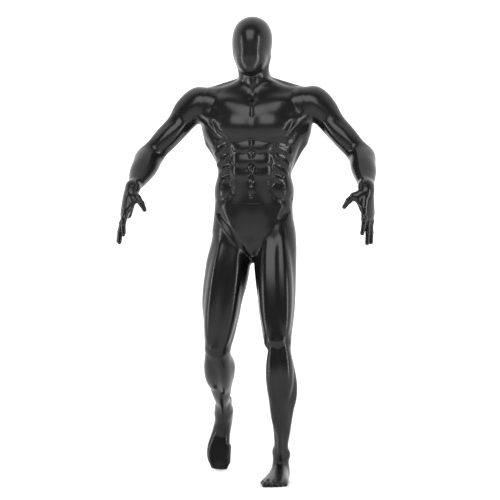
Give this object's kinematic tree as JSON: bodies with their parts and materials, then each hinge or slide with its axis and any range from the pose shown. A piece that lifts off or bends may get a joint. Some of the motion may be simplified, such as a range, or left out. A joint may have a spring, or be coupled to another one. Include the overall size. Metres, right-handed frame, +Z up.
{
  "type": "grappling dummy",
  "caption": "Rigid gloss-black muscular grappling figure in a striding stance; hollow casings part at neck, shoulders, wrists, waist and one hip.",
  "frame": {"origin": "floor level, under the middle of the standing figure's bounding box", "axes": "+Z up, the figure faces -Y, its left side is on +X"},
  "size_m": [0.9821, 0.7141, 1.825],
  "materials": {
    "casing": "high-gloss black lacquer over moulded fibreglass",
    "end_plate": "sawn plywood",
    "fitting_steel": "turned mild steel",
    "magnet": "nickel-plated ring magnet",
    "screw_zinc": "zinc-plated steel"
  },
  "bodies": {
    "hips": {"hips_left_leg_shell": "casing", "hips_waist_plate": "end_plate", "waist_socket": "fitting_steel", "hips_leg_plate": "end_plate", "leg_socket": "fitting_steel", "foot_rod_tube": "fitting_steel", "hips_screws": "screw_zinc"},
    "torso": {"torso_shell": "casing", "torso_waist_plate": "end_plate", "waist_spigot": "fitting_steel", "torso_neck_plate": "end_plate", "neck_socket": "fitting_steel", "neck_magnet": "magnet", "torso_left_plate": "end_plate", "left_shoulder_socket": "fitting_steel", "left_shoulder_magnet": "magnet", "torso_right_plate": "end_plate", "right_shoulder_socket": "fitting_steel", "right_shoulder_magnet": "magnet", "torso_screws": "screw_zinc"},
    "head": {"head_shell": "casing", "head_neck_plate": "end_plate", "neck_spigot": "fitting_steel", "head_screws": "screw_zinc"},
    "left_arm": {"left_arm_shell": "casing", "left_arm_plate": "end_plate", "left_arm_spigot": "fitting_steel", "left_wrist_plate": "end_plate", "left_wrist_socket": "fitting_steel", "left_wrist_magnet": "magnet", "left_arm_screws": "screw_zinc"},
    "right_arm": {"right_arm_shell": "casing", "right_arm_plate": "end_plate", "right_arm_spigot": "fitting_steel", "right_wrist_plate": "end_plate", "right_wrist_socket": "fitting_steel", "right_wrist_magnet": "magnet", "right_arm_screws": "screw_zinc"},
    "left_hand": {"left_hand_casting": "casing", "left_hand_spigot": "fitting_steel", "left_hand_screws": "screw_zinc"},
    "right_hand": {"right_hand_casting": "casing", "right_hand_spigot": "fitting_steel", "right_hand_screws": "screw_zinc"},
    "right_leg": {"right_leg_shell": "casing", "right_leg_plate": "end_plate", "right_leg_spigot": "fitting_steel", "right_leg_screws": "screw_zinc"}
  },
  "joints": [
    {"name": "torso_lift", "type": "slide", "parent": "hips", "child": "torso", "axis": [0, 0, 1], "range_m": [0, 0.06]},
    {"name": "head_turn", "type": "hinge", "parent": "torso", "child": "head", "pos_m": [-0.007, -0.026, 1.592], "axis": [0, -0.3522, 0.9359], "range_deg": [-60, 60]},
    {"name": "left_shoulder_turn", "type": "hinge", "parent": "torso", "child": "left_arm", "pos_m": [0.198, -0.018, 1.474], "axis": [-0.9379, 0, -0.347], "range_deg": [-45, 120]},
    {"name": "right_shoulder_turn", "type": "hinge", "parent": "torso", "child": "right_arm", "pos_m": [-0.198, -0.018, 1.474], "axis": [-0.9379, 0, 0.347], "range_deg": [-45, 120]},
    {"name": "left_wrist_turn", "type": "hinge", "parent": "left_arm", "child": "left_hand", "pos_m": [0.452, -0.279, 1.137], "axis": [0.0998, -0.7184, -0.6885], "range_deg": [-90, 90]},
    {"name": "right_wrist_turn", "type": "hinge", "parent": "right_arm", "child": "right_hand", "pos_m": [-0.452, -0.279, 1.137], "axis": [-0.0998, -0.7184, -0.6885], "range_deg": [-90, 90]},
    {"name": "right_leg_pull", "type": "slide", "parent": "hips", "child": "right_leg", "axis": [-1, 0, 0], "range_m": [0, 0.06]}
  ]
}
